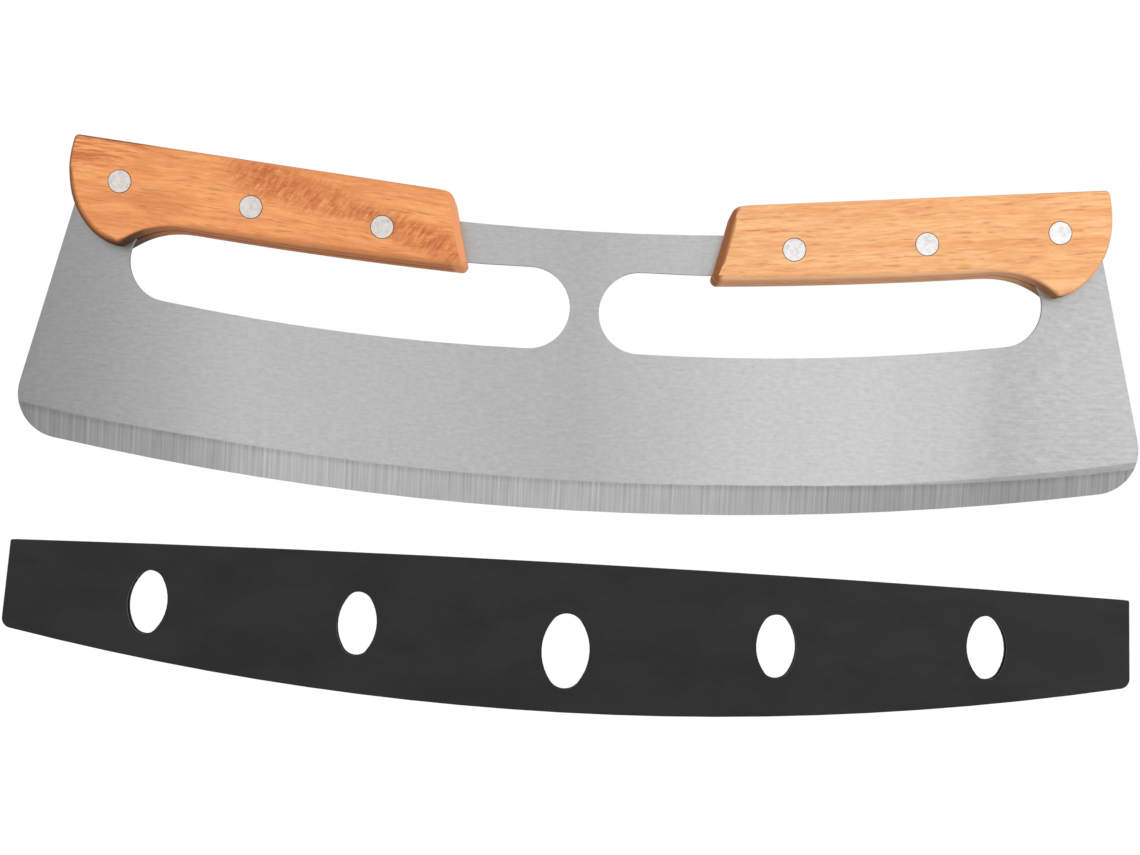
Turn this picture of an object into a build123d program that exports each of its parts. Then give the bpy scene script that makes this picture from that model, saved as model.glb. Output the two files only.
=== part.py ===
from build123d import *
import os
from math import atan, degrees, radians, sqrt, tan

# Rocking pizza knife: a curved two-handed steel blade with four wooden scales, six two-part
# rivets and a plastic edge guard. Millimetres. X runs along the blade, +Z points from
# the cutting edge to the handles, and the front face looks towards -Y. The origin is under the
# middle of the guard, which lies below the edge as it does once it has been pulled off.

# Blade sheet: heights are above the lowest point of the edge
blade_thickness = 2.0
blade_width = 356.4
widest_height = 28.0
flare_angle = 14.05
belly_radius = 976.0
corner_radius = 14.0
bevel_width = 9.5
edge_thickness = 0.3
shoulder_drop = 15.25
bridge_span = 88.0
bridge_depth = 12.0
bridge_radius = 900.0
bridge_overlap = 3.7

# Finger holes: at each end, the wood comes down over the top of the hole by this cover
hole_width = 26.0
hole_web = 9.2
hole_outer_inset = 31.75
hole_inner_cover = 4.25
hole_outer_cover = 3.1
hole_sag = 2.3

# Handle scales: the right-hand handle, measured from its outer end
scale_thickness = 8.5
handle_height = 109.35
handle_end_overhang = 1.9
handle_tilt = 5.5
handle_depth = 23.8
inner_end_run = 5.8
inner_top_radius = 4.0
inner_toe_radius = 2.0
underside_tilt = 4.83
underside_sag = 0.65
hollow_run = 21.0
beak_inset = 15.5
beak_radius = 25.3
beak_tip_radius = 1.2
outer_end_height = 11.7
outer_end_radius = 42.0
outer_top_radius = 1.5
scale_chamfer = 1.1

# Two-part rivets: a post with a long shank from the front and a bored cap from the back
outer_rivet_inset = 16.25
inner_rivet_inset = 20.55
rivet_sink = 2.75
outer_rivet_lift = 1.8
rivet_head_diameter = 7.0
rivet_head_thickness = 3.0
rivet_cap_thickness = 5.0
rivet_shank_diameter = 3.0
rivet_bore_floor = 1.6
rivet_tip_gap = 0.4
rivet_clearance = 0.1

# Edge guard
guard_end_overhang = 0.4
guard_height = 47.35
guard_crown = 2.1
guard_end_tilt = 3.4
guard_widest_height = 20.0
guard_bottom_tightening = 68.0
guard_wall = 1.2
guard_floor = 2.5
guard_top_corner_radius = 0.7
guard_bottom_corner_radius = 3.2
guard_edge_chamfer = 0.3
middle_oval_width = 15.2
middle_oval_height = 24.0
middle_oval_end_radius = 5.5
middle_oval_drop = 4.3
side_oval_width = 12.7
side_oval_height = 20.2
side_oval_end_radius = 4.6
side_oval_drop = 0.2
side_oval_count = 2
outer_oval_inset = 45.7
oval_fan_radius = 1340.0
slot_clearance = 0.3
seat_clearance = 0.4
guard_gap = 16.65

# Cuts run this far past the faces that they open
overrun = 5.0

# Places that follow from the sizes above: each handle ends a little past the shoulder of the flank
blade_bottom = guard_height + guard_gap
belly_center = blade_bottom + belly_radius
half_blade = blade_thickness / 2
scale_face = half_blade + scale_thickness
shoulder_height = blade_bottom + handle_height - shoulder_drop
flank_slope = tan(radians(flare_angle))
shoulder_x = blade_width / 2 - (handle_height - shoulder_drop - widest_height) * flank_slope
handle_half_span = shoulder_x + handle_end_overhang
handle_inner_x = bridge_span / 2
handle_toe_x = handle_inner_x - inner_end_run
bottom_up = (Align.CENTER, Align.CENTER, Align.MIN)
top_down = (Align.CENTER, Align.CENTER, Align.MAX)
sides = {"left": -1, "right": 1}


def handle_top_at(x):
    """Height of the handle's straight top edge at x."""
    return blade_bottom + handle_height - (handle_half_span - x) * tan(radians(handle_tilt))


def underside_at(x):
    """Height of the straight line from the toe to the hollow, under which the underside sags, at x."""
    toe_height = handle_top_at(handle_inner_x) - handle_depth
    return toe_height + (x - handle_toe_x) * tan(radians(underside_tilt))


def arc_rise(radius, run):
    """How far an arc of this radius leaves its tangent over a run."""
    return radius - sqrt(radius**2 - run**2)


rivet_row = ("outer", "middle", "inner")
rivet_span = handle_half_span - handle_inner_x - outer_rivet_inset - inner_rivet_inset
rivet_pitch = rivet_span / (len(rivet_row) - 1)
rivet_places = {}
for number, place in enumerate(rivet_row):
    rivet_x = handle_half_span - outer_rivet_inset - number * rivet_pitch
    rivet_lift = outer_rivet_lift if place == "outer" else 0
    rivet_places[place] = (rivet_x, handle_top_at(rivet_x) - handle_depth / 2 - rivet_sink + rivet_lift)


def handle_outline(side):
    """Outline of one handle: straight top, bowed end, beak, hollow, underside and slanted inner end."""
    outer_top_x = handle_half_span - arc_rise(outer_end_radius, outer_end_height)
    outer_top = (outer_top_x, handle_top_at(outer_top_x))
    inner_top = (handle_inner_x, handle_top_at(handle_inner_x))
    inner_toe = (handle_toe_x, underside_at(handle_toe_x))
    beak_start = handle_top_at(handle_half_span) - outer_end_height
    beak_x = handle_half_span - beak_inset
    beak_tip = (beak_x, beak_start - sqrt(beak_radius**2 - (beak_radius - beak_inset) ** 2))
    hollow_start = (beak_x - hollow_run, underside_at(beak_x - hollow_run))
    with BuildSketch() as outline:
        with BuildLine():
            RadiusArc(outer_top, (handle_half_span, beak_start), outer_end_radius)
            RadiusArc((handle_half_span, beak_start), beak_tip, beak_radius)
            underside = SagittaArc(inner_toe, hollow_start, -underside_sag)
            TangentArc(hollow_start, beak_tip, tangent=underside % 1)
            Polyline(inner_toe, inner_top, outer_top)
        make_face()
        roundings = (
            (inner_toe, inner_toe_radius),
            (inner_top, inner_top_radius),
            (outer_top, outer_top_radius),
            (beak_tip, beak_tip_radius),
        )
        for corner, radius in roundings:
            fillet(outline.vertices().sort_by_distance(corner)[0], radius)
        if side < 0:
            mirror(about=Plane.YZ, mode=Mode.REPLACE)
    return outline.sketch


def rivet_planes(side, y):
    """One plane on each rivet axis of a handle, at a depth y and facing out of that side of the knife."""
    outward = (0, y, 0)
    return [Plane(origin=(side * x, y, z), z_dir=outward) for x, z in rivet_places.values()]


# Blade: one sheet with the bridge, both tangs and both finger holes
tang_start = handle_inner_x + bridge_overlap
foot_x = blade_width / 2 + widest_height * flank_slope
hole_inner_x = (hole_web + hole_width) / 2
hole_outer_x = handle_half_span - hole_outer_inset
hole_inner_top = underside_at(hole_inner_x) + hole_inner_cover
hole_outer_top = underside_at(hole_outer_x) + hole_outer_cover
bridge_top = hole_inner_top + bridge_depth

with BuildPart() as blade:
    with BuildSketch(Plane.XZ):
        with BuildLine():
            bridge_end = (tang_start, bridge_top + arc_rise(bridge_radius, tang_start))
            bridge = RadiusArc((0, bridge_top), bridge_end, -bridge_radius)
            Polyline(
                bridge_end,
                (shoulder_x, shoulder_height),
                (foot_x, blade_bottom),
                (0, blade_bottom),
                bridge @ 0,
            )
        make_face()
        with Locations((0, belly_center)):
            Circle(belly_radius, mode=Mode.INTERSECT)
        fillet(vertices().sort_by(Axis.X)[-1], corner_radius)
        with BuildSketch(mode=Mode.PRIVATE) as tang:
            add(handle_outline(1))
            with Locations((tang_start, blade_bottom)):
                Rectangle(
                    handle_half_span, handle_height * 2, align=(Align.MAX, Align.MIN), mode=Mode.SUBTRACT
                )
        add(tang.sketch)
        with BuildLine(mode=Mode.PRIVATE) as hole_line:
            SagittaArc(
                (hole_outer_x, hole_outer_top - hole_width / 2),
                (hole_inner_x, hole_inner_top - hole_width / 2),
                hole_sag,
            )
        SlotArc(hole_line.wire(), hole_width, mode=Mode.SUBTRACT)
        mirror(about=Plane.YZ)
    extrude(amount=half_blade, both=True)

    # The ground bevel is a cone about the belly's own centre, so it keeps one width along the edge
    with BuildSketch(Plane(origin=(0, 0, belly_center), x_dir=(0, 1, 0), z_dir=(1, 0, 0))):
        Polygon(
            (edge_thickness / 2, belly_radius),
            (half_blade, belly_radius - bevel_width),
            (half_blade + overrun, belly_radius - bevel_width),
            (half_blade + overrun, belly_radius + overrun),
            (edge_thickness / 2, belly_radius + overrun),
            align=None,
        )
        mirror(about=Plane.YZ)
    revolve(axis=Axis((0, 0, belly_center), (0, 1, 0)), mode=Mode.SUBTRACT)

    for side in sides.values():
        with Locations(*rivet_planes(side, half_blade)):
            Hole(rivet_shank_diameter / 2 + rivet_clearance, depth=blade_thickness)

finished = {"blade": blade}

# Wooden scales: front and back of each handle, riveted through the tang
for side_name, side in sides.items():
    for face_name, face in (("front", -1), ("back", 1)):
        with BuildPart() as scale:
            with BuildSketch(Plane.XZ.offset(-face * half_blade)):
                add(handle_outline(side))
            extrude(amount=-face * scale_thickness)
            chamfer(scale.faces().sort_by(Axis.Y)[-1 if face > 0 else 0].outer_wire().edges(), scale_chamfer)
            with Locations(*rivet_planes(side, face * scale_face)):
                CounterBoreHole(
                    radius=rivet_shank_diameter / 2 + rivet_clearance,
                    counter_bore_radius=rivet_head_diameter / 2 + rivet_clearance,
                    counter_bore_depth=rivet_cap_thickness if face > 0 else rivet_head_thickness,
                    depth=scale_thickness,
                )
        finished[f"{side_name}_{face_name}_scale"] = scale

# Rivets: the post's shank passes through the tang and is pressed into the bore of the cap, and its
# tip stops short of the bore's floor
head_radius = rivet_head_diameter / 2
shank_radius = rivet_shank_diameter / 2
bore_depth = rivet_cap_thickness - rivet_bore_floor
shank_length = 2 * scale_face - rivet_bore_floor - rivet_tip_gap
for side_name, side in sides.items():
    post_planes = rivet_planes(side, -scale_face)
    cap_planes = rivet_planes(side, scale_face)
    for place, post_plane, cap_plane in zip(rivet_row, post_planes, cap_planes):
        with BuildPart(post_plane) as post:
            Cylinder(head_radius, rivet_head_thickness, align=top_down)
            Cylinder(shank_radius, shank_length, align=top_down)
        finished[f"{side_name}_{place}_rivet_post"] = post

        with BuildPart(cap_plane) as cap:
            Cylinder(head_radius, rivet_cap_thickness, align=top_down)
            with Locations((0, 0, -rivet_cap_thickness)):
                Cylinder(shank_radius, bore_depth, align=bottom_up, mode=Mode.SUBTRACT)
        finished[f"{side_name}_{place}_rivet_cap"] = cap


def window_outline(width, height, end_radius):
    """Upright oval of four arcs: two long sides and two small round ends."""
    side_radius = (height / 2 - end_radius) ** 2 + (width / 2) ** 2 - end_radius**2
    side_radius /= width - 2 * end_radius
    with BuildSketch() as window:
        with Locations((side_radius - width / 2, 0)):
            Circle(side_radius)
        with Locations((width / 2 - side_radius, 0)):
            Circle(side_radius, mode=Mode.INTERSECT)
        tips = window.vertices().sort_by(Axis.Y)
        fillet([tips[0], tips[-1]], end_radius)
    return window.sketch


# Edge guard: a channel, closed below and open at both ends, with oval windows through its walls
guard_length = blade_width + 2 * guard_end_overhang
guard_half_thickness = half_blade + slot_clearance + guard_wall
guard_bottom_radius = belly_radius - guard_bottom_tightening
guard_slope = tan(radians(guard_end_tilt))
guard_top_x = guard_length / 2 - (guard_height - guard_crown - guard_widest_height) * guard_slope
guard_foot_x = guard_length / 2 + guard_widest_height * guard_slope
slot_floor_radius = belly_radius + seat_clearance
oval_pitch = (guard_length / 2 - outer_oval_inset) / side_oval_count

with BuildPart() as guard:
    with BuildSketch(Plane.XZ):
        with BuildLine():
            rim_end = (guard_top_x, guard_height - guard_crown)
            rim = ThreePointArc((-guard_top_x, guard_height - guard_crown), (0, guard_height), rim_end)
            Polyline(rim_end, (guard_foot_x, 0), (-guard_foot_x, 0), rim @ 0)
        make_face()
        with Locations((0, guard_bottom_radius)):
            Circle(guard_bottom_radius, mode=Mode.INTERSECT)
        ends = vertices().sort_by(Axis.X)
        fillet([ends[0], ends[-1]], guard_bottom_corner_radius)
        fillet(vertices().group_by(Axis.Y)[-1], guard_top_corner_radius)
    extrude(amount=guard_half_thickness, both=True)
    chamfer(guard.edges().filter_by(Axis.Y, reverse=True), guard_edge_chamfer)

    with BuildSketch(Plane.XZ):
        with Locations((0, guard_floor)):
            Rectangle(guard_length * 2, guard_height, align=(Align.CENTER, Align.MIN))
        with Locations((0, guard_floor + slot_floor_radius)):
            Circle(slot_floor_radius, mode=Mode.INTERSECT)
    extrude(amount=half_blade + slot_clearance, both=True, mode=Mode.SUBTRACT)

    for number in range(-side_oval_count, side_oval_count + 1):
        oval_x = number * oval_pitch
        rim_drop = guard_crown * (2 * oval_x / guard_length) ** 2
        middle = (guard_height - rim_drop + arc_rise(guard_bottom_radius, oval_x)) / 2
        lean = degrees(atan(oval_x / oval_fan_radius))
        with BuildSketch(Plane.XZ):
            if number == 0:
                with Locations((0, middle - middle_oval_drop)):
                    add(window_outline(middle_oval_width, middle_oval_height, middle_oval_end_radius))
            else:
                with Locations((oval_x, middle - side_oval_drop)):
                    window = window_outline(side_oval_width, side_oval_height, side_oval_end_radius)
                    add(window, rotation=lean)
        extrude(amount=guard_half_thickness + overrun, both=True, mode=Mode.SUBTRACT)

finished["blade_guard"] = guard

guard_travel = blade_bottom - guard_floor - seat_clearance
print("guard travel to its seat on the edge", round(guard_travel, 3))
os.makedirs("parts", exist_ok=True)
for name, piece in finished.items():
    piece.part.label = name
    export_step(piece.part, f"parts/{name}.step")
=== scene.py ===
import math

import bmesh
import bpy
import numpy as np
from mathutils import Matrix, Vector
from mathutils.geometry import delaunay_2d_cdt


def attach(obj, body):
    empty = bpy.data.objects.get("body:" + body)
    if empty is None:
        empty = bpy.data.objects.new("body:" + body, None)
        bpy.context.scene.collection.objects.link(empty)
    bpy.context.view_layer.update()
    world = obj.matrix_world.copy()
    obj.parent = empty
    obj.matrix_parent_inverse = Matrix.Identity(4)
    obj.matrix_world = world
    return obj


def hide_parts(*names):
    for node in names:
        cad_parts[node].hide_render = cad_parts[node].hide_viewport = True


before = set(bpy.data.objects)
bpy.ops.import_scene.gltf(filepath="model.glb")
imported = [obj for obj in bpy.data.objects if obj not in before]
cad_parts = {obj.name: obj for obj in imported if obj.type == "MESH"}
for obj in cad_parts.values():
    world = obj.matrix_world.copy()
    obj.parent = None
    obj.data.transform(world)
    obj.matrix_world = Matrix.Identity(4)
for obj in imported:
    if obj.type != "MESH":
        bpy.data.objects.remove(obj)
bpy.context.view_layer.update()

# Rocking pizza knife, dressed: ground steel blade, two kinds of oiled wood, aluminium rivets and a
# black moulded guard. Shapes are in millimetres and become metres when a mesh is made.
mm = 0.001
print("frame loaded, nodes:", len(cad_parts))


def tone(red, green, blue):  # a screen colour of 0 to 255 as the linear colour that nodes take
    share = np.array([red, green, blue]) / 255
    linear = np.where(share > 0.04045, ((share + 0.055) / 1.055) ** 2.4, share / 12.92)
    return (*linear.tolist(), 1.0)


class Signal:
    # one output of a node; arithmetic on it adds Math nodes
    def __init__(self, shader, socket):
        self.shader = shader
        self.socket = socket

    def __add__(self, other):
        return self.shader.math("ADD", self, other)

    def __sub__(self, other):
        return self.shader.math("SUBTRACT", self, other)

    def __rsub__(self, other):
        return self.shader.math("SUBTRACT", other, self)

    def __mul__(self, other):
        return self.shader.math("MULTIPLY", self, other)

    def __truediv__(self, other):
        return self.shader.math("DIVIDE", self, other)

    def __pow__(self, other):
        return self.shader.math("POWER", self, other)

    __radd__ = __add__
    __rmul__ = __mul__


class Shader:
    # a node tree with the few helpers that the finishes below share
    def __init__(self, tree):
        self.tree = tree
        tree.nodes.clear()

    def node(self, kind, settings, inputs, out=0):
        made = self.tree.nodes.new("ShaderNode" + kind)
        for key, value in settings.items():
            if key == "stops":
                points = made.color_ramp.elements
                while len(points) < len(value):
                    points.new(1.0)
                for point, (place, colour) in zip(points, value):
                    point.position = place
                    point.color = colour
            else:
                setattr(made, key, value)
        for key, value in inputs.items():
            if isinstance(value, Signal):
                self.tree.links.new(value.socket, made.inputs[key])
            else:
                made.inputs[key].default_value = value
        return Signal(self, made.outputs[out]) if made.outputs else None

    def math(self, operation, *values):
        return self.node("Math", {"operation": operation}, dict(enumerate(values)))

    def mix(self, share, first, second):
        return self.node("Mix", {"data_type": "RGBA"}, {0: share, 6: first, 7: second}, 2)

    def rise(self, value, low, high):  # 0 below low, 1 above high, smooth between
        smooth = {"interpolation_type": "SMOOTHSTEP"}
        return self.node("MapRange", smooth, {0: value, 1: low, 2: high})

    def place(self):  # x, y and z in millimetres, as three signals
        point = self.node("TexCoord", {}, {}, "Object")
        return [self.node("SeparateXYZ", {}, {0: point}, axis) * 1000 for axis in "XYZ"]

    def noise(self, x, y, z, detail=2.0, roughness=0.5):  # 0 to 1, one swell per unit
        point = self.node("CombineXYZ", {}, {0: x, 1: y, 2: z})
        inputs = {"Vector": point, "Scale": 1.0, "Detail": detail, "Roughness": roughness}
        return self.node("TexNoise", {}, inputs)

    def bump(self, height, depth, strength=1.0):  # height 0 to 1 stands for depth millimetres
        inputs = {"Height": height, "Distance": depth * mm, "Strength": strength}
        return self.node("Bump", {}, inputs)

    def surface(self, **inputs):
        named = {key.replace("_", " "): value for key, value in inputs.items()}
        shaded = self.node("BsdfPrincipled", {}, named)
        self.node("OutputMaterial", {}, {"Surface": shaded})


def newMaterial(name):
    material = bpy.data.materials.new(name)
    material.use_nodes = True
    return material, Shader(material.node_tree)


# ---- view ----
view = {
    "photo": (1140, 855),
    "pixelsPerMm": 3.152,
    "lean": 3.15,  # the knife hangs this many degrees off level in the picture
    "centre": (578.0, 424.5),  # the pixel where x is 0 and the height is centreHeight
    "centreHeight": 91.35,
    "eye": (0.0, 60.0),  # the camera's x and height
    "distance": 650.0,
}


def placeCamera():
    lean = math.radians(view["lean"])
    right = Vector((math.cos(lean), 0, math.sin(lean)))
    up = Vector((-math.sin(lean), 0, math.cos(lean)))
    width, height = view["photo"]
    data = bpy.data.cameras.new("camera")
    data.sensor_width = 36
    data.lens = 36 * view["pixelsPerMm"] * view["distance"] / width
    offset = Vector((view["eye"][0], 0, view["eye"][1] - view["centreHeight"])) * view["pixelsPerMm"]
    data.shift_x = (width / 2 - view["centre"][0] - offset.dot(right)) / width
    data.shift_y = (view["centre"][1] - offset.dot(up) - height / 2) / width
    data.clip_start = 0.01
    camera = bpy.data.objects.new("camera", data)
    bpy.context.scene.collection.objects.link(camera)
    turn = Matrix((right, up, Vector((0, -1, 0)))).transposed()
    eye = Vector((view["eye"][0], -view["distance"], view["eye"][1])) * mm
    camera.matrix_world = Matrix.Translation(eye) @ turn.to_4x4()
    bpy.context.scene.camera = camera


placeCamera()
print("camera placed")

# ---- studio ----
studio = {
    "skyLight": 0.74,  # what the sky gives, where 1 alone would render a colour as written
    "keyPower": 12.0,
    "keyPlace": (1.4, -0.9, 0.35),
    "keySize": 0.8,
    "fillPower": 4.0,
    "fillPlace": (-1.3, -0.9, 0.45),
    "fillSize": 1.2,
    "floorWhite": 0.93,  # share of the floor's white that shadows don't reach
    "floorTone": 0.8,
    "floorGlow": 1.07,  # above 1, so that the floor stays white through its share of shadow
    "floorReach": 4.0,  # metres from the middle to each side
}


def seenDirectly(shader):  # 1 for rays from the camera, a reflection or a clear material
    kinds = ("Is Camera Ray", "Is Glossy Ray", "Is Transmission Ray")
    camera, glossy, clear = [shader.node("LightPath", {}, {}, kind) for kind in kinds]
    return shader.math("MINIMUM", camera + glossy + clear, 1.0)


def addLamp(name, place, size, power):
    data = bpy.data.lights.new(name, "AREA")
    data.size = size
    data.energy = power
    lamp = bpy.data.objects.new(name, data)
    bpy.context.scene.collection.objects.link(lamp)
    aim = Vector((0, 0, 0.1)) - Vector(place)
    lamp.matrix_world = Matrix.Translation(place) @ aim.to_track_quat("-Z", "Y").to_matrix().to_4x4()


def makeStudio():
    world = bpy.data.worlds.new("studio")
    bpy.context.scene.world = world
    world.use_nodes = True
    sky = Shader(world.node_tree)
    strength = seenDirectly(sky) * (1 - studio["skyLight"]) + studio["skyLight"]
    light = sky.node("Background", {}, {"Color": (1, 1, 1, 1), "Strength": strength})
    sky.node("OutputWorld", {}, {"Surface": light})

    addLamp("key", studio["keyPlace"], studio["keySize"], studio["keyPower"])
    addLamp("fill", studio["fillPlace"], studio["fillSize"], studio["fillPower"])

    material, floor = newMaterial("paleFloor")
    matt = floor.node("BsdfDiffuse", {}, {"Color": (studio["floorTone"],) * 3 + (1,)})
    glow = floor.node("Emission", {}, {"Strength": studio["floorGlow"]})
    glowShare = seenDirectly(floor) * studio["floorWhite"]
    both = floor.node("MixShader", {}, {0: glowShare, 1: matt, 2: glow})
    floor.node("OutputMaterial", {}, {"Surface": both})
    corners = np.array([(-1, -1, 0), (1, -1, 0), (1, 1, 0), (-1, 1, 0)]) * studio["floorReach"]
    mesh = bpy.data.meshes.new("floor")
    mesh.from_pydata(corners.tolist(), [], [(0, 1, 2, 3)])
    mesh.materials.append(material)
    ground = bpy.data.objects.new("floor", mesh)
    bpy.context.scene.collection.objects.link(ground)
    bpy.context.scene.view_settings.view_transform = "Standard"


makeStudio()
print("studio lit")

# ---- blade ----
blade = {
    # painted reflection: how bright the sheet is painted along its width, in place of how it
    # reflects, and the bevel's share of that, painted darker for its tilt
    "paintedSheen": (
        (-178, 141), (-150, 158), (-120, 179), (-105, 186), (-60, 185), (0, 178), (15, 185),
        (30, 189), (60, 199), (90, 201), (120, 193), (135, 181), (150, 186), (178, 187),
    ),
    "bevelPaintedSheen": (
        (-178, 0.9), (-150, 0.83), (-120, 0.74), (-90, 0.88), (-45, 0.86), (0, 0.93),
        (30, 0.8), (60, 0.66), (90, 0.54), (120, 0.58), (150, 0.55), (178, 0.6),
    ),
    "bellyCentre": 1040.0,  # height of the centre of the long arc that the edge follows
    "bevelTop": 966.5,  # distance from the belly's centre to where the ground bevel starts
    "bevelDrop": (1.2, 2.8),  # the bevel's upper line sinks this much at the left and right end
    "bevelLine": 0.16,  # how much darker the bevel is just under its upper line
    "brushing": 0.3,
    "clouds": 0.08,
    "rubs": 0.35,
    "rubStart": (105.0, 140.0),  # the rubs fade in between these places
    "streaks": 0.5,
    "cutShade": (0.2, 0.75),  # painted shade: what is left of the painted sheen on the tangs' cut walls, left and right
    "openShade": 0.8,  # the same on every other cut wall
    "tangLine": (0.0845, 133.2),  # slope and starting height of a line just under the tangs
    "tangStart": 37.5,  # the tangs lie further out than this
    "faceDepth": (0.88, 0.97),  # nearer the middle than this is a cut wall, further out the face
    "roughness": 0.36,
    "halfWidth": 178.5,
}


def along(shader, x, stops):  # a value that changes along the blade, from (x, value) pairs
    span = 2 * blade["halfWidth"]
    places = [((at + blade["halfWidth"]) / span, (value, value, value, 1)) for at, value in stops]
    return shader.node("ValToRGB", {"stops": places}, {0: x / span + 0.5}) * 1.0


def dressBlade():
    material, steel = newMaterial("groundSteel")
    x, y, z = steel.place()
    # painted reflection: the sheet's brightness along the blade
    paintedSheen = along(steel, x, [(at, tone(grey, grey, grey)[0]) for at, grey in blade["paintedSheen"]])
    reach = (x * x + (z - blade["bellyCentre"]) ** 2.0) ** 0.5
    wander = steel.noise(x * 0.3, z * 0.1, 0.0) * 0.5
    leftDrop, rightDrop = blade["bevelDrop"]
    reach = reach - steel.rise(x, -110.0, -175.0) * leftDrop - steel.rise(x, 40.0, 178.0) * rightDrop
    bevel = steel.rise(reach + wander, blade["bevelTop"], blade["bevelTop"] + 0.5)

    # brushing runs along the blade, with a soft cloudiness over it and a few wavy rubs at the right
    fine = steel.noise(x * 0.18, y, z * 1.5, 3.0, 0.65)
    coarse = steel.noise(x * 0.5, y, z * 0.9, 2.0, 0.6)
    cloud = steel.noise(x * 0.02, y, z * 0.03)
    rub = steel.noise(x * 0.2 + cloud * 6, y, z * 0.8 + cloud * 9, 2.0, 0.6)
    rubbed = (rub - 0.5) * steel.rise(x, *blade["rubStart"]) * blade["rubs"]
    clouded = (cloud - 0.5) * blade["clouds"]
    brushed = (fine + coarse - 1) * blade["brushing"] + clouded + rubbed + 1

    # the wheel leaves streaks across the bevel, which is darker just under its upper line; the
    # bevel's painted reflection makes it darker than the face
    streak = steel.noise(x * 1.1, y * 0.1, z * 0.015, 2.0, 0.7)
    slow = steel.noise(x * 0.09, y, z * 0.05, 2.0)
    line = 1 - steel.rise(reach, blade["bevelTop"] + 0.3, blade["bevelTop"] + 2.2)
    streaked = ((streak - 0.5) * 2 + (slow - 0.5) * 0.4) * blade["streaks"]
    ground = (streaked - line * blade["bevelLine"] + 1.03) * along(steel, x, blade["bevelPaintedSheen"])

    # the cut walls are dull, with painted shade where a tang lies between two scales, darker on the
    # left than on the right
    leftShade, rightShade = blade["cutShade"]
    outward = (x * x) ** 0.5
    slope, level = blade["tangLine"]
    onTang = steel.rise(z - outward * slope, level, level + 1)
    onTang = onTang * steel.rise(outward, blade["tangStart"], blade["tangStart"] + 1)
    cutWallShade = steel.rise(x, -40.0, 40.0) * (rightShade - leftShade) + leftShade
    cutWallShade = cutWallShade * onTang + (1 - onTang) * blade["openShade"]
    cut = (1 - steel.rise((y * y) ** 0.5, *blade["faceDepth"])) * (1 - bevel)
    shade = (brushed * (1 - bevel) + ground * bevel) * (1 - cut * (1 - cutWallShade))
    relief = fine * (1 - bevel) + slow * bevel
    steel.surface(
        Base_Color=paintedSheen * shade,
        Metallic=1 - cut,
        Specular_IOR_Level=0.1,
        Roughness=(fine - 0.5) * 0.12 + bevel * 0.05 + cut * 0.5 + blade["roughness"],
        Normal=steel.bump(relief, 0.01),
    )
    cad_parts["blade"].material_slots[0].material = material


dressBlade()
print("blade finished")

# ---- handles ----
handle = {
    "halfBlade": 1.0,
    "thickness": 8.5,
    "outerX": 163.558,  # the widest place of the bowed outer end
    "topHeight": 173.35,  # of the top's line, above that place
    "tilt": 5.5,  # degrees that the top falls by towards the inner end
    "innerX": 44.0,  # where the inner end meets the top
    "toe": (38.2, 138.038),  # where the inner end meets the underside
    "undersideTilt": 4.83,
    "undersideSag": 0.65,
    "endRadius": 42.0,
    "endDrop": 11.7,  # from topHeight down to where the bowed end turns into the beak
    # the beak as arcs that run on into each other: radius, and degrees turned at its end
    "beak": {"left": ((25.3, 45.5), (14.0, 88.0)), "right": ((25.3, 50.0), (14.0, 80.0))},
    "hollowX": 127.058,  # where the hollow meets the underside
    "innerShift": {"left": -0.9, "right": 1.0},  # the hand-ground inner ends differ a little
    # radius of the beak's tip, the hollow's end, the toe, the inner top and the outer top
    "corners": {"left": (1.8, 0.0, 2.0, 4.0, 1.5), "right": (1.4, 0.0, 2.0, 4.0, 1.5)},
    # widths of the bevelled edge along the end, beak, hollow, underside, inner end and top
    "legBevels": {"left": (0.8, 2.1, 0.6, 1.7, 2.0, 0.9), "right": (0.7, 1.0, 0.7, 1.7, 2.5, 0.6)},
    "legSteps": (24, 44, 36, 50, 16, 70),  # points along the same six
    "cornerSteps": 14,
    "bevelBlend": 4.0,  # length over which one leg's width turns into the next one's
    "bevelRoom": 0.8,  # the widest bevel on a corner, as a share of its radius
    "bevelDepth": 1.25,  # how deep the bevel runs down the wall, as a multiple of its width
    "bevelTurn": 58.0,  # degrees that it turns through, so that it meets the face at a crisp line
    "edgeBreak": 0.1,  # a small chamfer at the tang and at the mouth of each rivet hole
    "crispAngle": 24.0,  # edges that turn by more degrees are not smoothed
    "rivets": ((147.308, 158.945), (105.929, 153.165), (64.55, 149.18)),
    "headHole": 3.7,
    "headDepth": {"front": 3.0, "back": 5.0},
    "shankHole": 1.62,
    "holeSides": 48,
}


def arcPoints(centre, radius, first, last, count=240):
    # points on a circle from one angle to another, in radians
    angle = np.linspace(first, last, count)
    return np.stack([centre[0] + radius * np.cos(angle), centre[1] + radius * np.sin(angle)], 1)


def arcBetween(first, last, centre, count=240):
    # the short way round a centre from one point to another
    start, stop = [math.atan2(p[1] - centre[1], p[0] - centre[0]) for p in (first, last)]
    stop = start + (stop - start + math.pi) % (2 * math.pi) - math.pi
    return arcPoints(centre, float(np.hypot(*np.subtract(first, centre))), start, stop, count)


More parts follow.
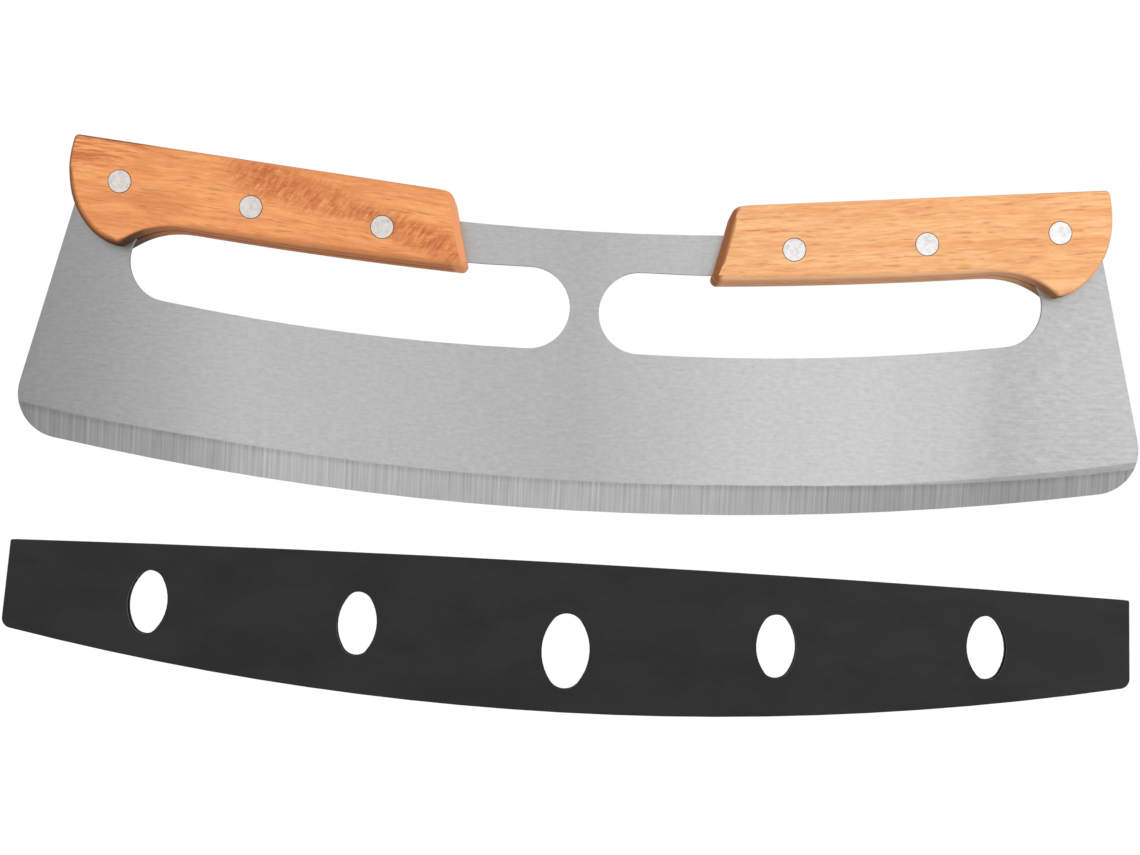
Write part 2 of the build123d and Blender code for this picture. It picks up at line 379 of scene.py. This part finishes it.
def handleOutline(side):
    # six legs, clockwise from the outer top: bowed end, beak, hollow, underside, inner end, top.
    # Each corner is a circular arc, as a parabola weighted by the cosine of half its turn.
    # Gives the points and the width of the bevelled edge at each.
    shift = handle["innerShift"][side]
    slope = math.tan(math.radians(handle["tilt"]))
    topAt = lambda x: handle["topHeight"] - (handle["outerX"] - x) * slope
    toe = handle["toe"]
    underAt = lambda x: toe[1] + (x - toe[0]) * math.tan(math.radians(handle["undersideTilt"]))
    beakStart = handle["topHeight"] - handle["endDrop"]
    radius, drop = handle["endRadius"], handle["endDrop"]
    topX = handle["outerX"] - radius + math.sqrt(radius**2 - drop**2)
    topAngle = math.asin((topAt(topX) - beakStart) / radius)
    end = arcPoints((handle["outerX"] - radius, beakStart), radius, topAngle, 0)
    beak, place, angle = [], np.array((handle["outerX"], beakStart)), 0.0
    for radius, degrees in handle["beak"][side]:
        centre = place - radius * np.array((math.cos(angle), math.sin(angle)))
        beak.append(arcPoints(centre, radius, angle, -math.radians(degrees)))
        place, angle = beak[-1][-1], -math.radians(degrees)
    beak = np.concatenate([beak[0]] + [arc[1:] for arc in beak[1:]])

    # the underside is an arc over the chord from the toe, and the hollow leaves it without a corner
    tip = beak[-1]
    start = np.array((handle["hollowX"], underAt(handle["hollowX"])))
    chord, sag = start - np.array(toe), handle["undersideSag"]
    length = float(np.hypot(*chord))
    underRadius = (length**2 / 4 + sag**2) / (2 * sag)
    across = np.array((-chord[1], chord[0])) / length
    underCentre = (start + np.array(toe)) / 2 + across * (underRadius - sag)
    normal = (start - underCentre) / underRadius
    gap = tip - start
    hollowCentre = start + normal * float(gap @ gap / (2 * (gap @ normal)))
    newToe = (toe[0] + shift, underAt(toe[0] + shift))
    hollow, under = arcBetween(tip, start, hollowCentre), arcBetween(start, newToe, underCentre)
    newToe = under[-1]
    innerTop = (handle["innerX"] + shift, topAt(handle["innerX"] + shift))
    inner, top = np.linspace(newToe, innerTop, 240), np.linspace(innerTop, end[0], 240)
    legs = [end, beak, hollow, under, inner, top]

    cuts, weights = [0.0], [1.0]
    headings = [(leg[1] - leg[0], leg[-1] - leg[-2]) for leg in legs]
    for number, corner in enumerate(handle["corners"][side], 1):
        (ax, az), (bx, bz) = headings[number][1], headings[(number + 1) % 6][0]
        halfTurn = abs(math.atan2(ax * bz - az * bx, ax * bx + az * bz)) / 2
        cuts.append(corner * math.tan(halfTurn))
        weights.append(math.cos(halfTurn))
    bevels = handle["legBevels"][side]
    steps, blend = handle["legSteps"], handle["bevelBlend"]
    points, widths = [], []
    for number, leg in enumerate(legs):
        run = np.concatenate([[0], np.cumsum(np.hypot(*np.diff(leg, axis=0).T))])
        at = np.linspace(cuts[number - 1], run[-1] - cuts[number], steps[number])
        piece = np.stack([np.interp(at, run, leg[:, 0]), np.interp(at, run, leg[:, 1])], 1)
        level, before, after = bevels[number], bevels[number - 1], bevels[(number + 1) % 6]
        fadeIn = np.clip(1 - (at - at[0]) / blend, 0, 1) ** 2 / 2
        fadeOut = np.clip(1 - (at[-1] - at) / blend, 0, 1) ** 2 / 2
        points.append(piece)
        widths.append(level + (before - level) * fadeIn + (after - level) * fadeOut)
        if cuts[number] > 0:
            following = legs[(number + 1) % 6]
            nextRun = np.concatenate([[0], np.cumsum(np.hypot(*np.diff(following, axis=0).T))])
            meet = [np.interp(cuts[number], nextRun, following[:, i]) for i in (0, 1)]
            t = np.linspace(0, 1, handle["cornerSteps"])[1:-1, None]
            pull = 2 * t * (1 - t) * weights[number]
            corner = (1 - t) ** 2 * piece[-1] + pull * leg[-1] + t**2 * np.array(meet)
            points.append(corner / ((1 - t) ** 2 + pull + t**2))
            widths.append(np.full(len(t), (level + after) / 2))
    points, widths = np.concatenate(points), np.concatenate(widths)
    apart = np.hypot(*(points - np.roll(points, 1, axis=0)).T) > 1e-4
    points, widths = points[apart], widths[apart]

    # a bevel may not be wider than the radius of the corner it runs round
    ahead, behind = np.roll(points, -1, axis=0) - points, points - np.roll(points, 1, axis=0)
    across = ahead[:, 1] * behind[:, 0] - ahead[:, 0] * behind[:, 1]
    bend = np.arctan2(across, np.sum(ahead * behind, 1))
    radius = np.hypot(*(ahead + behind).T) / 2 / np.maximum(-bend, 1e-6)
    plenty, growth = 30, 0.12  # no bound above this radius, and the most that room grows per point
    room = np.where(radius > plenty, plenty, radius * handle["bevelRoom"])
    for _ in range(3):
        beside = np.minimum(np.roll(room, 1), np.roll(room, -1))
        room = np.minimum(room, beside + growth)
    return points, np.minimum(widths, room)


def ringFaces(start, rings, count):
    # four-sided faces between neighbouring rings that each close on themselves
    row = start + np.arange(rings - 1)[:, None] * count
    here, beyond = np.arange(count), (np.arange(count) + 1) % count
    corners = [row + here, row + beyond, row + count + beyond, row + count + here]
    return np.stack(corners, -1).reshape(-1, 4)


def capFaces(flat, loops):
    # triangles that fill the first loop and leave the others open
    borders = [list(zip(loop, np.roll(loop, -1))) for loop in loops]
    used = np.concatenate(loops)
    local = {int(old): new for new, old in enumerate(used)}
    edges = [(local[int(a)], local[int(b)]) for border in borders for a, b in border]
    spots = [Vector(p) for p in flat[used]]
    _, _, faces, origins, _, _ = delaunay_2d_cdt(spots, edges, [], 2, 1e-6)
    filled = [[int(used[origins[corner][0]]) for corner in face] for face in faces]
    holes = [set(loop.tolist()) for loop in loops[1:]]
    return [face for face in filled if not any(hole.issuperset(face) for hole in holes)]


def makeScale(name, side, face, material):
    # the outline's wall, then a bevel of its own width at each point, then the flat face;
    # each rivet hole is a stepped profile turned about the rivet's axis
    sideName = "left" if side < 0 else "right"
    faceName = "front" if face < 0 else "back"
    outline, widths = handleOutline(sideName)
    ahead = np.roll(outline, -1, axis=0) - outline
    ahead /= np.hypot(*ahead.T)[:, None]
    heading = ahead + np.roll(ahead, 1, axis=0)
    heading /= np.hypot(*heading.T)[:, None]
    outward = np.stack([-heading[:, 1], heading[:, 0]], 1)
    innerFace, small = handle["halfBlade"], handle["edgeBreak"]
    outerFace = innerFace + handle["thickness"]
    last = math.radians(handle["bevelTurn"])
    turn = np.linspace(0, last, 8)
    inset = np.concatenate([[0, 0], (1 - np.cos(turn)) / (1 - math.cos(last)), [1]])
    fall = np.concatenate([[0, 0], 1 - np.sin(turn) / math.sin(last), [0]])
    count, rings = len(outline), len(inset)
    amount = inset[:, None] * widths[None, :]
    amount[0] = small
    amount[-1] += small / 2
    height = outerFace - fall[:, None] * widths[None, :] * handle["bevelDepth"]
    height[0], height[1] = innerFace, innerFace + small
    flat = outline[None] - outward[None] * amount[..., None]
    # 1 on the wall, falling over the bevel to 0 on the face
    share = np.concatenate([[1, 1], np.linspace(1, 0.2, len(turn)), [0]])
    bend = np.broadcast_to(share[:, None], (rings, count))

    mouth, shank, depth = handle["headHole"], handle["shankHole"], handle["headDepth"][faceName]
    profile = (
        (mouth + small, outerFace), (mouth, outerFace - small), (mouth, outerFace - depth),
        (shank, outerFace - depth), (shank, innerFace),
    )
    around = np.linspace(0, 2 * math.pi, handle["holeSides"], endpoint=False)
    spoke = np.stack([np.cos(around), np.sin(around)], 1)
    plane = [flat.reshape(-1, 2)]
    level = [height.reshape(-1)]
    bends = [bend.reshape(-1)]
    faces = ringFaces(0, rings, count).tolist()
    innerLoops = [np.arange(count)]
    outerLoops = [innerLoops[0] + (rings - 1) * count]
    start = rings * count
    for centre in handle["rivets"]:
        circles = [np.array(centre) + spoke * radius for radius, _ in profile]
        plane.append(np.concatenate(circles))
        level.append(np.repeat([y for _, y in profile], len(around)))
        bends.append(np.zeros(len(profile) * len(around)))
        faces += ringFaces(start, len(profile), len(around)).tolist()
        outerLoops.append(start + np.arange(len(around)))
        innerLoops.append(start + (len(profile) - 1) * len(around) + np.arange(len(around)))
        start += len(profile) * len(around)
    plane, level, bends = np.concatenate(plane), np.concatenate(level), np.concatenate(bends)
    smooth = len(faces)
    faces += capFaces(plane, outerLoops) + capFaces(plane, innerLoops)
    points = np.stack([side * plane[:, 0], face * level, plane[:, 1]], 1) * mm

    mesh = bpy.data.meshes.new(name)
    mesh.from_pydata(points.tolist(), [], faces)
    mesh.polygons.foreach_set("use_smooth", np.arange(len(faces)) < smooth)
    edgeTurn = mesh.attributes.new("edgeTurn", "FLOAT", "POINT")
    edgeTurn.data.foreach_set("value", bends.astype(np.float32))
    work = bmesh.new()
    work.from_mesh(mesh)
    bmesh.ops.recalc_face_normals(work, faces=work.faces)
    work.to_mesh(mesh)
    work.free()
    mesh.set_sharp_from_angle(angle=math.radians(handle["crispAngle"]))
    mesh.materials.append(material)
    piece = bpy.data.objects.new(name, mesh)
    bpy.context.scene.collection.objects.link(piece)
    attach(piece, "knife")
    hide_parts(f"{sideName}_{faceName}_scale")


# places are measured outward from the knife's middle, and heights from just under the tang
pattern = {
    "midHeight": 150.0,
    "figureStart": 107.0,  # the left handle's figure starts here and runs inwards
    "figureLine": (3.5, 0.17, 0.0009),  # its height at the start, slope and curve
    "figureFade": (1.5, 7.0),  # it fades out over these distances from its line
    "figureReach": (122.0, 104.0),
    "smudgeReach": (140.0, 165.0),
    "beakReach": (134.0, 144.0),
    "hollowReach": (128.0, 145.0),
    "hollowTop": (147.0, 143.0),
    "innerReach": (43.0, 41.0),
}
leftWood = {
    "light": (252, 176, 114),
    "dark": (232, 148, 96),
    "red": (196, 108, 66),
    "pore": (150, 88, 56),
    "bevel": (216, 144, 96),
    "wall": (204, 124, 70),
    "hollow": (62, 42, 32),  # painted shadow: the hollow's wall is painted dark near the beak
    # painted light: the inner end's bevel is painted light on this handle
    "innerEndPaintedLight": (232, 156, 108),
    "beakEdgeShade": (112, 70, 40),  # painted shade: the outer end and the beak are painted darker along their edge
    "bandScale": 0.16,
    "drift": 9.0,  # how far the growth rings wander off the handle's direction
    "poreAmount": 0.4,
    "redAmount": 0.5,
    "figure": 0.95,  # strength of the reddish figure that sinks towards the inner end
    "smudge": 0.8,  # strength of the darker stain at the outer top corner
}
rightWood = {
    "light": (254, 198, 142),
    "dark": (238, 166, 112),
    "red": (232, 152, 102),
    "pore": (186, 114, 74),
    "bevel": (240, 184, 142),
    "wall": (236, 174, 128),
    # painted shadow on the hollow's wall near the beak
    "hollow": (140, 92, 56),
    # painted shade: the inner end's bevel is painted dark on this handle
    "innerEndPaintedLight": (160, 100, 64),
    # painted shade along the edge of the outer end and the beak
    "beakEdgeShade": (216, 158, 118),
    "bandScale": 0.3,
    "drift": 4.0,
    "poreAmount": 0.55,
    "redAmount": 0.3,
    "figure": 0.0,
    "smudge": 0.0,
}


def woodMaterial(name, side, look):
    material, wood = newMaterial(name)
    x, y, z = wood.place()
    lean = math.radians(handle["tilt"])
    outward = x * side
    above = z - pattern["midHeight"]
    run = outward * math.cos(lean) + above * math.sin(lean)  # along the handle's top
    rise = above * math.cos(lean) - outward * math.sin(lean)  # square to it
    wander = wood.noise(run * 0.02, rise * 0.04, y * 0.05, 2.0) - 0.5
    ring = rise + wander * look["drift"] + y * 0.35  # height in the growth rings

    band = wood.noise(run * 0.008, ring * look["bandScale"], y * 0.1, 3.0, 0.55)
    fibre = wood.noise(run * 0.13, ring * 1.2, y * 1.2, 3.0, 0.65)
    dash = wood.noise(run * 0.14, ring * 1.5, y * 1.5, 2.0, 0.6)
    pores = wood.rise(dash, 0.56, 0.74) * look["poreAmount"]
    flame = wood.noise(run * 0.025, ring * 0.09, y * 0.1 + 3.0, 2.0)
    red = wood.rise(flame, 0.5, 0.68) * look["redAmount"]

    # the figure's middle line bends down towards the inner end, and short slanting strokes cross it
    inward = pattern["figureStart"] - outward
    height, slope, curve = pattern["figureLine"]
    middle = height - inward * slope - inward * inward * curve
    away = ((rise - middle) * (rise - middle)) ** 0.5 + (flame - 0.5) * 12
    strokes = wood.noise(run * 0.9 + rise * 0.5, rise * 0.35 - run * 0.08, y, 2.0, 0.5)
    reach = wood.rise(outward, *pattern["figureReach"])
    near = 1 - wood.rise(away, *pattern["figureFade"])
    figure = near * wood.rise(strokes, 0.15, 0.8) * reach * look["figure"]
    corner = wood.rise(outward + rise * 1.5 + (flame - 0.5) * 30, *pattern["smudgeReach"])
    smudge = corner * wood.rise(fibre, 0.35, 0.65) * look["smudge"]

    grain = wood.rise(band * 0.45 + fibre * 0.55, 0.36, 0.64)
    colour = wood.mix(grain, tone(*look["light"]), tone(*look["dark"]))
    colour = wood.mix(wood.math("MAXIMUM", red * 0.7, figure + smudge), colour, tone(*look["red"]))
    colour = wood.mix(pores, colour, tone(*look["pore"]))

    # edgeTurn tells face, bevel and wall apart, and the places along the handle do the rest
    turned = wood.node("Attribute", {"attribute_name": "edgeTurn"}, {}, "Fac")
    atEnd = wood.rise(outward - (z - handle["toe"][1]) * 0.2, *pattern["innerReach"])
    atBeak = wood.rise(outward, *pattern["beakReach"])
    # painted shade on the bevel at the outer end and the beak
    edge = wood.mix(atBeak, tone(*look["bevel"]), tone(*look["beakEdgeShade"]))
    colour = wood.mix(wood.rise(turned, 0.1, 0.6) * 0.8, colour, edge)
    darker = [part * 0.84 for part in look["wall"]]
    wall = wood.mix(grain, tone(*look["wall"]), tone(*darker))
    # painted shadow: the hollow's wall is painted dark near the beak
    hollowShadowMask = wood.rise(outward, *pattern["hollowReach"]) * wood.rise(z, *pattern["hollowTop"])
    wall = wood.mix(hollowShadowMask, wall, tone(*look["hollow"]))
    colour = wood.mix(wood.rise(turned, 0.55, 1.0) * 0.9, colour, wall)
    # more painted shade on the bevel at the outer end and the beak
    edgeOnly = wood.rise(turned, 0.35, 0.8) * (1 - wood.rise(turned, 0.9, 1.0))
    colour = wood.mix(edgeOnly * atBeak * 0.85, colour, tone(*look["beakEdgeShade"]))
    # painted light and shade on the inner end's bevel
    colour = wood.mix(wood.rise(turned, 0.05, 0.25) * atEnd, colour, tone(*look["innerEndPaintedLight"]))
    wood.surface(
        Base_Color=colour,
        Roughness=fibre * 0.15 + pores * 0.1 + 0.45,
        Specular_IOR_Level=0.02,
        Normal=wood.bump(fibre * 0.3 - pores, 0.06),
    )
    return material


def dressHandles():
    for sideName, side, look in (("left", -1, leftWood), ("right", 1, rightWood)):
        material = woodMaterial(sideName + "Wood", side, look)
        for faceName, face in (("Front", -1), ("Back", 1)):
            makeScale(f"{sideName}{faceName}Wood", side, face, material)


dressHandles()
print("handles shaped")

# ---- rivets ----
# painted reflection: the left rivets are painted darker and the right ones lighter
rivet = {"left": (220, 214, 210), "right": (232, 231, 230), "dull": 0.7, "roughness": 0.42}


def dressRivets():
    material, metal = newMaterial("turnedAluminium")
    x, y, z = metal.place()
    mottle = metal.noise(x * 0.6, y * 0.6, z * 0.6, 3.0, 0.6)
    scratch = metal.noise(x * 1.2, y, z * 5.0, 2.0)
    # painted reflection, darker on the left and lighter on the right
    sideSheen = metal.mix(metal.rise(x, -60.0, 60.0), tone(*rivet["left"]), tone(*rivet["right"]))
    dull = metal.rise(mottle * 0.7 + scratch * 0.3, 0.4, 0.7) * (1 - rivet["dull"])
    metal.surface(
        Base_Color=metal.mix(dull, sideSheen, (0.1, 0.1, 0.1, 1)),
        Metallic=1.0,
        Roughness=mottle * 0.2 + rivet["roughness"],
        Normal=metal.bump(scratch, 0.01),
    )
    for name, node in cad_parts.items():
        if "_rivet_" in name:
            node.material_slots[0].material = material


dressRivets()
print("rivets finished")

# ---- guard ----
guard = {"black": (26, 26, 26), "worn": (36, 36, 36), "roughness": 0.55}


def dressGuard():
    material, plastic = newMaterial("blackPlastic")
    x, y, z = plastic.place()
    grain = plastic.noise(x * 2.2, y * 2.2, z * 2.2, 2.0, 0.6)
    cloud = plastic.noise(x * 0.04, y * 0.1, z * 0.08, 3.0, 0.6)
    wornShare = plastic.rise(cloud * 0.7 + grain * 0.3, 0.35, 0.65)
    plastic.surface(
        Base_Color=plastic.mix(wornShare, tone(*guard["black"]), tone(*guard["worn"])),
        Roughness=grain * 0.12 + guard["roughness"],
        Specular_IOR_Level=0.25,
        Normal=plastic.bump(grain, 0.03),
    )
    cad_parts["blade_guard"].material_slots[0].material = material


dressGuard()
print("guard finished")
